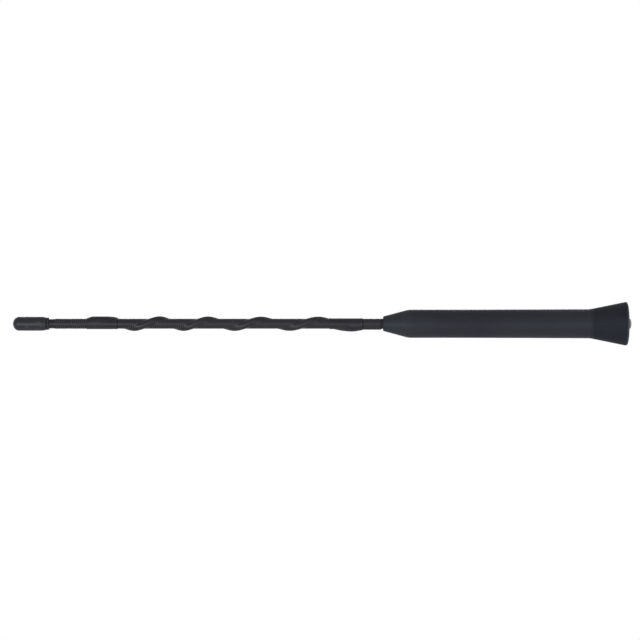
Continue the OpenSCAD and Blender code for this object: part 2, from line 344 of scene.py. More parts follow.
def lies_between(edge, low, high):
    """Whether an edge runs up the piece between two heights."""
    heights = sorted(v.co.z for v in edge.verts)
    return heights[0] > low - NEAR and heights[1] < high + NEAR and heights[1] - heights[0] > NEAR


def turned(name, stations, sides=SIDES):
    """A turned piece, as a ring drawn from station to station. A station is a radius and a height."""
    bpy.ops.object.select_all(action="DESELECT")
    radius, height = stations[0]
    bpy.ops.mesh.primitive_circle_add(vertices=sides, radius=radius, location=(0, 0, height))
    piece = bpy.context.object
    piece.name = piece.data.name = name
    bpy.ops.object.transform_apply(location=True, rotation=True, scale=True)
    bpy.ops.object.mode_set(mode="EDIT")
    bpy.ops.mesh.select_mode(type="EDGE")
    bpy.ops.mesh.select_all(action="SELECT")
    for next_radius, next_height in stations[1:]:
        bpy.ops.mesh.extrude_edges_indiv()
        bpy.ops.transform.translate(value=(0, 0, next_height - height))
        factor = next_radius / radius
        bpy.ops.transform.resize(
            value=(factor, factor, 1), center_override=(0, 0, next_height)
        )
        radius, height = next_radius, next_height
    bpy.ops.object.mode_set(mode="OBJECT")
    return piece


def close_end(piece, height):
    """Fills the open ring at a height with a flat face."""
    bpy.ops.object.mode_set(mode="EDIT")
    select_edges(
        piece, lambda e: e.is_boundary and all(abs(v.co.z - height) < NEAR for v in e.verts)
    )
    bpy.ops.mesh.edge_face_add()
    bpy.ops.object.mode_set(mode="OBJECT")


def close_holes(piece):
    """Fills every open end of a piece with a face."""
    bpy.ops.object.mode_set(mode="EDIT")
    bpy.ops.mesh.select_all(action="SELECT")
    bpy.ops.mesh.fill_holes(sides=0)
    bpy.ops.object.mode_set(mode="OBJECT")


def close_pole(piece, height):
    """Draws the one ring that is still open in to a point at a height."""
    bpy.ops.object.mode_set(mode="EDIT")
    select_edges(piece, lambda e: e.is_boundary)
    bpy.ops.mesh.extrude_edges_indiv()
    bpy.ops.mesh.merge(type="CENTER")
    mesh = bmesh.from_edit_mesh(piece.data)
    for vertex in mesh.verts:
        if vertex.select:
            vertex.co = (0, 0, height)
    bmesh.update_edit_mesh(piece.data)
    bpy.ops.object.mode_set(mode="OBJECT")


def join_ends(piece):
    """Bridges the two rings that a tube's outer and inner wall leave open."""
    bpy.ops.object.mode_set(mode="EDIT")
    select_edges(piece, lambda e: e.is_boundary)
    bpy.ops.mesh.bridge_edge_loops()
    bpy.ops.object.mode_set(mode="OBJECT")


def turn_rim_in(piece, end, radius, wall):
    """Closes an end of a tube: draws its outer wall's ring in to the ring of its inner wall."""
    bpy.ops.object.mode_set(mode="EDIT")
    select_edges(
        piece,
        lambda e: e.is_boundary
        and abs(e.verts[0].co.z - end) < NEAR
        and radius_of(e.verts[0].co) > radius + wall / 2,
    )
    bpy.ops.mesh.extrude_edges_indiv()
    mesh = bmesh.from_edit_mesh(piece.data)
    for vertex in mesh.verts:
        if vertex.select:
            vertex.co.xy *= radius / radius_of(vertex.co)
    bmesh.update_edit_mesh(piece.data)
    bpy.ops.object.mode_set(mode="OBJECT")


def round_ring(piece, radius, height, width, segments=4):
    """Rounds the edge that runs round a turned piece at a radius and height."""
    bpy.ops.object.mode_set(mode="EDIT")
    select_edges(piece, lambda e: lies_on_ring(e, radius, height))
    bpy.ops.mesh.bevel(offset=width, segments=segments, affect="EDGES")
    bpy.ops.object.mode_set(mode="OBJECT")


def cut_rings(piece, low, high, *cuts):
    """Cuts the stretch between two heights into rings, as often as cuts says."""
    bpy.ops.object.mode_set(mode="EDIT")
    for count in cuts:
        select_edges(piece, lambda e: lies_between(e, low, high))
        bpy.ops.mesh.subdivide(number_cuts=count)
    bpy.ops.object.mode_set(mode="OBJECT")


def open_tube(name, radius, low, high, sides, *cuts):
    """A tube along the mast with open ends, cut into rings."""
    bpy.ops.object.select_all(action="DESELECT")
    bpy.ops.mesh.primitive_cylinder_add(
        vertices=sides,
        radius=radius,
        depth=high - low,
        end_fill_type="NOTHING",
        location=(0, 0, (low + high) / 2),
    )
    tube = bpy.context.object
    tube.name = tube.data.name = name
    bpy.ops.object.transform_apply(location=True, rotation=True, scale=True)
    cut_rings(tube, low, high, *cuts)
    return tube


def point_outwards(piece):
    """Merges doubles and turns every face outwards."""
    select_only(piece)
    bpy.ops.object.mode_set(mode="EDIT")
    bpy.ops.mesh.select_all(action="SELECT")
    bpy.ops.mesh.remove_doubles(threshold=NEAR / 4)
    bpy.ops.mesh.normals_make_consistent(inside=False)
    bpy.ops.object.mode_set(mode="OBJECT")


def dress(piece, material, replaced, sharp_angle=35):
    """Gives a finished piece its material, its body, its slot and the solid that it stands for."""
    point_outwards(piece)
    bpy.ops.object.shade_smooth_by_angle(angle=math.radians(sharp_angle))
    piece.data.materials.clear()
    piece.data.materials.append(material)
    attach(piece, "root")
    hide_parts(replaced)


def cord_course(height, turn_in):
    """Angle and lift of the cord at a height. Both change softly, because a cord doesn't kink."""
    samples = 9
    lowest, highest = CROSSINGS[0][0] * MM, CROSSINGS[-1][0] * MM
    angle = lift = 0.0
    for i in range(samples):
        place = height + turn_in * (2 * i / (samples - 1) - 1)
        place = min(max(place, lowest), highest)
        step = max(k for k in range(len(CROSSINGS) - 1) if CROSSINGS[k][0] * MM <= place)
        (low, low_lift), (high, high_lift) = CROSSINGS[step : step + 2]
        share = (place / MM - low) / (high - low)
        angle += math.pi * (len(CROSSINGS) - 1 - step - share)
        lift += low_lift + (high_lift - low_lift) * share
    return angle / samples, lift * MM / samples


def tent_share(height, cord):
    """How much of its full height the tent over the cord has at a height on the mast."""
    low, high = CORD_ENDS
    return ease((height - low + cord.low_reach) / cord.low_slope) * ease(
        (high + cord.high_reach - height) / cord.high_slope
    )


def hump(away, reach):
    """A rounded hump that is 1 over the cord and falls to 0 at an angle of reach."""
    return math.cos(math.pi / 2 * away / reach) ** 2 if away < reach else 0.0


# Where the sleeve's ribs show all round the mast, in millimetres of height. Along the foot of the
# tent they show too on the upper mast, because the sleeve is drawn tight over the wire there.
# Elsewhere they are faint, and more so towards the grip.
RIBBED = ((199.6, 205.4), (208.1, 211.6))
RIBS_FADE = 0.8 * MM
TENT_FOOT_WIDTH = math.radians(15)
FAINT_RIBS = 0.1
FAINT_RIBS_TIP = 0.2
RIBS_GROW = (0.15, 0.165)

# A rib is narrow, with a wide flat between it and the next
CREST_SHARPNESS = 2

# The finish reads this from the sleeve: above 0 on the ribs, which it makes smoother and paints
# pale as a painted highlight, and below 0 between them, which it paints dark as painted shade
RIB_ATTRIBUTE = "rib"

# The finish reads this too: from 0 to 1 as the sleeve is drawn over the cord, which smooths it
DRAWN_ATTRIBUTE = "drawn"
DRAWN_FADE = math.radians(20)
DRAWN_LIFT = 0.8 * MM


def winding(scene):
    """Where the wire's winding starts, how long it is, and how many turns it has."""
    start = WIRE_ENDS[0] + scene.aerial_wire.wire_r
    length = WIRE_ENDS[1] - scene.aerial_wire.wire_r - start
    return start, length, round(length / scene.aerial_sleeve.rib_pitch)


def rib_strength(height, away, cord):
    """How strongly the ribs show at a place on the sleeve, from 0 to 1."""
    if height > WIRE_ENDS[1]:
        return 0.0
    round_mast = max(
        ease((height - low * MM) / RIBS_FADE + 1) * ease((high * MM - height) / RIBS_FADE + 1)
        for low, high in RIBBED
    )
    foot = math.exp(-(((away - cord.tent_angle) / TENT_FOOT_WIDTH) ** 2))
    foot *= tent_share(height, cord) if height < UPPER_BAND_ENDS[0] else 0
    grown = ease((height - RIBS_GROW[0]) / (RIBS_GROW[1] - RIBS_GROW[0]))
    faint = FAINT_RIBS + (FAINT_RIBS_TIP - FAINT_RIBS) * grown
    return max(faint, round_mast, foot * grown)


WOBBLE_LENGTH = 2.2 * MM
RIDGE_REACH = math.radians(60)
RIDGE_FADE = 1.0 * MM
DRAW_IN_LENGTH = 0.5 * MM

# How far the sleeve's finely cut part reaches into the grip and into the cap
SHOWN_IN_GRIP = 1.4 * MM
SHOWN_IN_CAP = 0.8 * MM


def courses_of(piece):
    """Angle and lift of the cord at each height that a piece has points at."""
    cord = bpy.context.scene.aerial_cord
    courses = {}
    for vertex in piece.data.vertices:
        height = vertex.co.z
        if round(height / NEAR) not in courses:
            angle, lift = cord_course(height, cord.turn_in)
            courses[round(height / NEAR)] = (angle, lift * tent_share(height, cord))
    return courses


def shape_mast_skin(piece, radius_at, notes=None):
    """Moves each point of a tube to the radius that radius_at gives, and makes notes of it.

    notes has a function for each attribute. Like radius_at, it is given the height, the angle,
    the angle from the cord, and the cord's lift there.
    """
    courses = courses_of(piece)
    notes = notes or {}
    noted = {name: [] for name in notes}
    for vertex in piece.data.vertices:
        height = vertex.co.z
        cord_angle, lift = courses[round(height / NEAR)]
        angle = math.atan2(vertex.co.y, vertex.co.x)
        away = abs((angle - cord_angle + math.pi) % (2 * math.pi) - math.pi)
        radius = radius_at(height, angle, away, lift)
        for name, note_at in notes.items():
            noted[name].append(note_at(height, angle, away, lift))
        vertex.co = (radius * math.cos(angle), radius * math.sin(angle), height)
    for name, values in noted.items():
        attribute = piece.data.attributes.new(name, "FLOAT", "POINT")
        attribute.data.foreach_set("value", values)
    piece.data.update()


def sleeve_radius(height, away, lift, cord, sleeve):
    """Radius of the smooth sleeve: the mast, the tent over the cord and the glue's ridge below it."""
    ridge = 0.0
    if height < CORD_ENDS[0]:
        ridge = cord.root_ridge * ease((height - MOUTH_Z) / RIDGE_FADE) * hump(away, RIDGE_REACH)
    drawn = sleeve.draw_in * ease((height - WIRE_ENDS[1]) / DRAW_IN_LENGTH)
    return sleeve.radius - drawn + max(lift * hump(away, cord.tent_angle), ridge)


def unevenness(sleeve, height, angle):
    """How far shrinking leaves the surface from its true radius at a place."""
    place = Vector((math.cos(angle), math.sin(angle), height / WOBBLE_LENGTH))
    return sleeve.wobble * noise.noise(place)


class AERIAL_OT_sleeve(bpy.types.Operator):
    """Model the shrunk sleeve, with its tent over the cord and the ribs of the wire"""

    bl_idname = "aerial.sleeve"
    bl_label = "Shrunk sleeve"

    def execute(self, context):
        cord, sleeve = context.scene.aerial_cord, context.scene.aerial_sleeve
        low, high = SLEEVE_ENDS
        shown_low, shown_high = MOUTH_Z - SHOWN_IN_GRIP, CAP_ENDS[0] + SHOWN_IN_CAP
        coil_low, coil_length, turns = winding(context.scene)
        start = context.scene.aerial_wire.start

        def crest(height, angle):
            turn = 2 * math.pi * turns * (height - coil_low) / coil_length - angle + start
            return (0.5 + 0.5 * math.cos(turn)) ** CREST_SHARPNESS

        def outer(height, angle, away, lift):
            rib = sleeve.rib_height * crest(height, angle) * rib_strength(height, away, cord)
            smooth = sleeve_radius(height, away, lift, cord, sleeve)
            return smooth + rib + unevenness(sleeve, height, angle)

        def rib(height, angle, away, lift):
            return (2 * crest(height, angle) - 1) * rib_strength(height, away, cord)

        def drawn(height, angle, away, lift):
            return ease((cord.tent_angle - away) / DRAWN_FADE) * ease(lift / DRAWN_LIFT)

        def inner(height, angle, away, lift):
            return sleeve_radius(height, away, lift, cord, sleeve) - sleeve.wall

        skin = open_tube(
            "heat_shrink_sleeve", sleeve.radius, shown_low, shown_high, sleeve.sides, 50, 27
        )
        bpy.ops.object.mode_set(mode="EDIT")
        for end, height in ((low, shown_low), (high, shown_high)):
            select_edges(skin, lambda e: lies_on_ring(e, sleeve.radius, height))
            bpy.ops.mesh.extrude_edges_indiv()
            bpy.ops.transform.translate(value=(0, 0, end - height))
        bpy.ops.object.mode_set(mode="OBJECT")
        shape_mast_skin(skin, outer, {RIB_ATTRIBUTE: rib, DRAWN_ATTRIBUTE: drawn})
        lining = open_tube("lining", sleeve.radius, low, high, sleeve.sides, 19, 19)
        shape_mast_skin(lining, inner)
        skin.select_set(True)
        context.view_layer.objects.active = skin
        bpy.ops.object.join()
        for end in (low, high):
            turn_rim_in(skin, end, inner(end, 0, math.pi, 0), sleeve.wall)
        dress(skin, heat_shrink(), "shrunk_sleeve")
        return {"FINISHED"}


# A band's upper edge rolls less than its lower one
UPPER_LIP = 0.3

# Share of a band's wall that its edges are rounded by, and the angle in degrees that makes an edge
BAND_EDGE = 0.35
BAND_SHARP_ANGLE = 60


class AERIAL_OT_bands(bpy.types.Operator):
    """Model the two short bands that hold down the cord's ends"""

    bl_idname = "aerial.bands"
    bl_label = "Cord bands"

    def execute(self, context):
        cord, sleeve = context.scene.aerial_cord, context.scene.aerial_sleeve

        def band(name, node, ends):
            low, high = ends

            def outer(height, angle, away, lift):
                below, above = height - low, high - height
                wide = ease(min(below, above) / sleeve.band_settle)
                reach = cord.tent_angle + (cord.band_angle - cord.tent_angle) * wide
                lip = ease(1 - below / sleeve.band_lip_len)
                lip += UPPER_LIP * ease(1 - above / sleeve.band_lip_len)
                smooth = sleeve.radius + sleeve.band_gap + sleeve.band_wall
                smooth += lift * hump(away, reach) + sleeve.band_lip * lip
                return smooth + unevenness(sleeve, height, angle)

            piece = open_tube(name, sleeve.radius, low, high, sleeve.sides, 8, 11)
            shape_mast_skin(piece, outer)
            select_only(piece)
            bpy.ops.object.modifier_add(type="SOLIDIFY")
            wall = piece.modifiers[-1]
            wall.thickness = sleeve.band_wall
            wall.offset = -1
            bpy.ops.object.modifier_apply(modifier=wall.name)
            bpy.ops.object.modifier_add(type="BEVEL")
            edge = piece.modifiers[-1]
            edge.width = sleeve.band_wall * BAND_EDGE
            edge.segments = 2
            edge.limit_method = "ANGLE"
            edge.angle_limit = math.radians(BAND_SHARP_ANGLE)
            bpy.ops.object.modifier_apply(modifier=edge.name)
            dress(piece, heat_shrink_band(), node, BAND_SHARP_ANGLE)

        band("lower_band_sleeve", "lower_cord_band", LOWER_BAND_ENDS)
        band("upper_band_sleeve", "upper_cord_band", UPPER_BAND_ENDS)
        return {"FINISHED"}


STRANDS = 3


class AERIAL_OT_cord(bpy.types.Operator):
    """Model the twisted cord, which lies in its channel under the sleeve's tent"""

    bl_idname = "aerial.cord"
    bl_label = "Spiral cord"

    def execute(self, context):
        cord, sleeve = context.scene.aerial_cord, context.scene.aerial_sleeve
        low, high = CORD_ENDS
        piece = open_tube("twisted_cord", cord.width / 2, low, high, 24, 14, 29)
        close_holes(piece)
        channel = sleeve.radius - sleeve.wall - cord.gap / 2
        courses = courses_of(piece)
        for vertex in piece.data.vertices:
            height = vertex.co.z
            angle, lift = courses[round(height / NEAR)]
            around = math.atan2(vertex.co.y, vertex.co.x)
            twist = STRANDS * (around - 2 * math.pi * height / cord.lay)
            full = 1 - cord.strand_depth * (0.5 - 0.5 * math.cos(twist))
            half = (lift - cord.gap) / 2
            out = channel + half + half * full * math.cos(around)
            aside = cord.width / 2 / math.cos(cord.lean) * full * math.sin(around)
            vertex.co.x = out * math.cos(angle) - aside * math.sin(angle)
            vertex.co.y = out * math.sin(angle) + aside * math.cos(angle)
        piece.data.update()
        dress(piece, nylon_cord(), "spiral_cord")
        return {"FINISHED"}


class AERIAL_OT_wire(bpy.types.Operator):
    """Model the copper wire that is wound on the rod"""

    bl_idname = "aerial.wire"
    bl_label = "Wound wire"

    def execute(self, context):
        wire = context.scene.aerial_wire
        low, length, turns = winding(context.scene)
        out = ROD_R + wire.gap + wire.wire_r
        bpy.ops.object.select_all(action="DESELECT")
        bpy.ops.mesh.primitive_circle_add(
            vertices=8,
            radius=wire.wire_r,
            location=(out * math.cos(wire.start), out * math.sin(wire.start), low),
            rotation=(math.pi / 2, 0, wire.start),
        )
        piece = context.object
        piece.name = piece.data.name = "wound_aerial_wire"
        bpy.ops.object.transform_apply(location=True, rotation=True, scale=True)
        bpy.ops.object.modifier_add(type="SCREW")
        coil = piece.modifiers[-1]
        coil.screw_offset = length / turns
        coil.iterations = turns
        coil.steps = coil.render_steps = wire.steps
        bpy.ops.object.modifier_apply(modifier=coil.name)
        close_holes(piece)
        dress(piece, enamelled_copper(), "aerial_wire", sharp_angle=80)
        return {"FINISHED"}


class AERIAL_OT_tip_cap(bpy.types.Operator):
    """Model the blunt tip cap, with its lip, groove and bore"""

    bl_idname = "aerial.tip_cap"
    bl_label = "Tip cap"

    def execute(self, context):
        cap = context.scene.aerial_cap
        mouth, tip = CAP_ENDS
        bore_top = tip - cap.bore_end
        lip_r = CAP_R - cap.slope
        lip_z = mouth + cap.lip_len
        slope_z = lip_z + 2 * cap.groove
        body_z = slope_z + cap.slope_len
        dome = arc(0, tip - cap.dome, CAP_R, cap.dome, 0, 86, 14)
        lip_start = cap.bore_r + cap.lip_edge
        stations = [
            (cap.bore_r, bore_top),
            (cap.bore_r, mouth),
            *arc(lip_start, lip_z, lip_r - lip_start, cap.lip_len, -90, 0, 6),
            (lip_r - cap.groove, lip_z + cap.groove),
            (lip_r, slope_z),
            (CAP_R, body_z),
            *dome,
        ]
        piece = turned("moulded_tip_cap", stations)
        close_end(piece, bore_top)
        close_pole(piece, tip)
        round_ring(piece, lip_r, lip_z, 0.12 * MM)
        round_ring(piece, lip_r, slope_z, 0.08 * MM)
        round_ring(piece, CAP_R, body_z, 0.5 * MM, 5)
        dress(piece, cap_plastic(), "tip_cap")
        return {"FINISHED"}


# Gap between the rod and the socket that holds it
ROD_GAP = 0.03 * MM


def fitting_heights(fitting):
    """Heights of the flange's upper face and of the knurl's two ends."""
    flange_top = fitting.flange_z + fitting.flange_h
    knurl_z = flange_top + fitting.neck_h
    return flange_top, knurl_z, knurl_z + fitting.knurl_h


class AERIAL_OT_grip(bpy.types.Operator):
    """Model the moulded grip, with its cone, flare, hollow foot and bore"""

    bl_idname = "aerial.grip"
    bl_label = "Grip"

    def execute(self, context):
        grip, fitting = context.scene.aerial_grip, context.scene.aerial_fitting
        sleeve = context.scene.aerial_sleeve
        bore = sleeve.radius + grip.clearance
        wire_room = ROD_R + fitting.relief - 0.22 * MM
        cone_z = MOUTH_Z - grip.cone_len
        swell_z = MOUTH_Z - grip.swell_from
        flange_top, knurl_z, socket_z = fitting_heights(fitting)
        gap = grip.clearance
        stations = [
            (bore + grip.mouth_lead, MOUTH_Z),
            (grip.mouth_r, MOUTH_Z),
            (grip.grip_r, cone_z),
            (grip.grip_r, swell_z),
            (grip.swell_r, grip.flare_h),
            (grip.foot_r, SEAT_Z),
            (grip.rim_r, SEAT_Z),
            (grip.roof_r, fitting.flange_z),
            (fitting.flange_r + gap, fitting.flange_z),
            (fitting.flange_r + gap, flange_top + gap),
            (fitting.neck_r + gap, flange_top + gap),
            (fitting.neck_r + gap, knurl_z - gap),
            (fitting.knurl_r + gap, knurl_z - gap),
            (fitting.knurl_r + gap, socket_z + gap),
            (fitting.socket_r + gap, socket_z + gap),
            (fitting.socket_r + gap, FITTING_ENDS[1] + gap),
            (wire_room, FITTING_ENDS[1] + gap),
            (wire_room, SLEEVE_ENDS[0] - gap),
            (bore, SLEEVE_ENDS[0] - gap),
            (bore, MOUTH_Z - grip.mouth_lead),
        ]
        piece = turned("moulded_grip", stations)
        join_ends(piece)
        cut_rings(piece, swell_z, cone_z, 3)
        cut_rings(piece, grip.flare_h, swell_z, 7)
        round_ring(piece, grip.mouth_r, MOUTH_Z, 0.28 * MM, 5)
        round_ring(piece, grip.grip_r, cone_z, 1.0 * MM, 8)
        round_ring(piece, grip.swell_r, grip.flare_h, 0.9 * MM, 8)
        round_ring(piece, grip.foot_r, SEAT_Z, grip.foot_edge, 6)
        round_ring(piece, grip.rim_r, SEAT_Z, 0.25 * MM, 4)
        round_ring(piece, grip.roof_r, fitting.flange_z, 0.5 * MM, 4)
        dress(piece, grip_rubber(), "grip")
        return {"FINISHED"}


def thread_radius(fitting, angle, height):
    """Radius of a right-handed V thread, with flats on its crests and in its roots."""
    turn = (height / fitting.thread_pitch - angle / (2 * math.pi)) % 1.0
    from_crest = abs(turn - 0.5) * 2
    crest_flat, root_flat = 0.14, 0.25
    fall = (from_crest - crest_flat) / (1 - crest_flat - root_flat)
    return fitting.thread_r - fitting.thread_depth * min(max(fall, 0.0), 1.0)


class AERIAL_OT_stud_fitting(bpy.types.Operator):
    """Model the turned stud fitting, with its thread, knurl and socket"""

    bl_idname = "aerial.stud_fitting"
    bl_label = "Stud fitting"

    def execute(self, context):
        fitting = context.scene.aerial_fitting
        nose_z, top = FITTING_ENDS
        thread_low = nose_z + fitting.nose + fitting.chamfer
        relief_z = fitting.flange_z - fitting.relief_len
        thread_high = relief_z - fitting.relief
        flange_top, knurl_z, socket_z = fitting_heights(fitting)
        bore, bore_floor = ROD_R + ROD_GAP, ROD_ENDS[0] - ROD_GAP
        tip_r = fitting.thread_r - fitting.chamfer
        edge = 0.2 * MM
        stations = [
            (bore, bore_floor),
            (bore, top),
            (fitting.socket_r - fitting.socket_edge, top),
            (fitting.socket_r, top - fitting.socket_edge),
            (fitting.socket_r, socket_z),
            (fitting.knurl_r - edge, socket_z),
            (fitting.knurl_r, socket_z - edge),
            (fitting.knurl_r, knurl_z + edge),
            (fitting.knurl_r - edge, knurl_z),
            (fitting.neck_r, knurl_z),
            (fitting.neck_r, flange_top),
            (fitting.flange_r - edge, flange_top),
            (fitting.flange_r, flange_top - edge),
            (fitting.flange_r, fitting.flange_z + edge),
            (fitting.flange_r - edge, fitting.flange_z),
            (fitting.thread_r - fitting.relief, fitting.flange_z),
            (fitting.thread_r - fitting.relief, relief_z),
            (fitting.thread_r, thread_high),
            (fitting.thread_r, thread_low),
            (tip_r, nose_z + fitting.nose),
            *arc(0, nose_z + fitting.nose, tip_r, -fitting.nose, 12, 84, 6),
        ]
        piece = turned("turned_stud_fitting", stations, FITTING_SIDES)
        close_end(piece, bore_floor)
        close_pole(piece, nose_z)
        cut_rings(piece, thread_low, thread_high, 11, 11)
        cut_rings(piece, nose_z + fitting.nose, thread_low, 9)
        cut_rings(piece, thread_high, relief_z, 7)
        step = 2 * math.pi / FITTING_SIDES
        for vertex in piece.data.vertices:
            angle, height = math.atan2(vertex.co.y, vertex.co.x), vertex.co.z
            radius = radius_of(vertex.co)
            if nose_z + fitting.nose - NEAR < height < relief_z + NEAR:
                shaped = min(radius, thread_radius(fitting, angle, height))
            elif radius > fitting.knurl_r - NEAR and knurl_z < height < socket_z:
                place = round(angle / step) % POINTS_PER_TOOTH
                depth = 1 - abs(place - POINTS_PER_TOOTH / 2) / (POINTS_PER_TOOTH / 2)
                shaped = radius - fitting.knurl_depth * depth
            else:
                continue
            vertex.co.x *= shaped / radius
            vertex.co.y *= shaped / radius
        piece.data.update()
        dress(piece, plated_steel(), "stud_fitting", sharp_angle=30)
        return {"FINISHED"}


class AERIAL_OT_rod(bpy.types.Operator):
    """Finish the rod, which keeps the frame's solid"""

    bl_idname = "aerial.rod"
    bl_label = "Fibreglass rod"

    def execute(self, context):
        material = glass_fibre()
        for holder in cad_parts["fibreglass_rod"].material_slots:
            holder.material = material
        return {"FINISHED"}


def add_node(material, kind, inputs=None, **settings):
    """Adds a shader node. An input takes a value, or the output that feeds it."""
    made = material.node_tree.nodes.new(kind)
    for key, value in settings.items():
        setattr(made, key, value)
    for key, value in (inputs or {}).items():
        if isinstance(value, bpy.types.NodeSocket):
            material.node_tree.links.new(value, made.inputs[key])
        else:
            made.inputs[key].default_value = value
    return made


def new_material(name):
    """An empty node material and its Object coordinates, in metres."""
    material = bpy.data.materials.new(name)
    material.use_nodes = True
    material.node_tree.nodes.clear()
    place = add_node(material, "ShaderNodeTexCoord").outputs["Object"]
    return material, place


def finish_material(material, shader, displayed):
    """Ends a material in its output, and gives it a plain colour for the solid view."""
    add_node(material, "ShaderNodeOutputMaterial", {"Surface": shader.outputs[0]})
    material.diffuse_color = displayed
    return material


def finish_surface(material, displayed, inputs):
    """Ends a material in one surface shader with those inputs."""
    shader = add_node(material, "ShaderNodeBsdfPrincipled", inputs)
    return finish_material(material, shader, displayed)


def calculate(material, operation, *values):
    """What a sum of one operation comes to."""
    inputs = dict(enumerate(values))
    return add_node(material, "ShaderNodeMath", inputs, operation=operation).outputs[0]


def speckle(material, place, size, detail=2.0, stretch=(1, 1, 1), **others):
    """A noise of features of a real size, which may be stretched along the axes."""
    scaled = add_node(
        material,
        "ShaderNodeMapping",
        {"Vector": place, "Scale": [1 / (size * MM * s) for s in stretch]},
    )
    inputs = {"Vector": scaled.outputs[0], "Scale": 1.0, "Detail": detail, **others}
    return add_node(material, "ShaderNodeTexNoise", inputs).outputs["Fac"]


def spread(material, value, low, high, to_low, to_high):
    """Carries a value from one range to another, held at its ends."""
    inputs = {
        "Value": value,
        "From Min": low,
        "From Max": high,
        "To Min": to_low,
        "To Max": to_high,
    }
    return add_node(material, "ShaderNodeMapRange", inputs).outputs[0]


def blend_colours(material, factor, first, second):
    """Mixes two colours by a factor."""
    mixed = add_node(
        material, "ShaderNodeMix", {0: factor, 6: first, 7: second}, data_type="RGBA"
    )
    return mixed.outputs[2]


def raise_surface(material, height, depth, strength=1.0):
    """Bumps the surface by a height of up to depth millimetres."""
    inputs = {"Height": height, "Distance": depth * MM, "Strength": strength}
    return add_node(material, "ShaderNodeBump", inputs).outputs[0]


def height_of(material, place):
    """The height of a place on the mast."""
    return add_node(material, "ShaderNodeSeparateXYZ", {0: place}).outputs["Z"]


def near_height(material, place, middle, half, fade):
    """1 round the mast within half of a height, fading out to 0 beyond."""
    away = calculate(material, "SUBTRACT", height_of(material, place), middle)
    return spread(material, calculate(material, "ABSOLUTE", away), half, half + fade, 1, 0)


def grip_rubber():
    """Moulded thermoplastic rubber: dull, with a spark-eroded mould's grain. It is lighter above the
    flare and towards the cone than on the flare, and the rounding of its foot's edge carries a painted
    highlight.
    """
    colours = bpy.context.scene.aerial_colours
    flare = bpy.context.scene.aerial_grip.flare_h
    material, place = new_material("moulded_rubber")
    cloud = speckle(material, place, 9, stretch=(1, 1, 2.5))
    grain = speckle(material, place, 0.22, detail=3)
    height = height_of(material, place)
    lighter_share = spread(material, cloud, 0.3, 0.7, -0.15, 0.2)
    # Lighter above the flare, a little darker again from 30 to 55 mm up, and lighter in two steps
    # towards the cone
    for low, high, at_low, at_high in (
        (flare - 1.4 * MM, flare + 0.6 * MM, 0, 0.72),
        (30 * MM, 55 * MM, 0, -0.36),
        (54 * MM, 62 * MM, 0, 0.17),
        (MOUTH_Z - 12 * MM, MOUTH_Z - 8 * MM, 0, 0.17),
    ):
        toned = spread(material, height, low, high, at_low, at_high)
        lighter_share = calculate(material, "ADD", lighter_share, toned)
    # Painted highlight on the rounding of the foot's edge
    edge = spread(material, height, SEAT_Z + 0.5 * MM, SEAT_Z + 0.8 * MM, 1, 0)
    base = blend_colours(
        material,
        edge,
        blend_colours(material, lighter_share, colours.rubber, colours.rubber_light),
        colours.rubber_edge_highlight,
    )
    inputs = {
        "Base Color": base,
        "Roughness": spread(material, lighter_share, 0, 0.8, 0.62, 0.46),
        "Specular IOR Level": 0.08,
        "Specular Tint": colours.rubber_shine,
        "Normal": raise_surface(material, grain, 0.01, 0.4),
    }
    return finish_surface(material, colours.rubber_light, inputs)


# The sleeve is dull near the grip, where it is handled, and glossier from here to here
DULL_TO_GLOSSY = (0.16, 0.2)


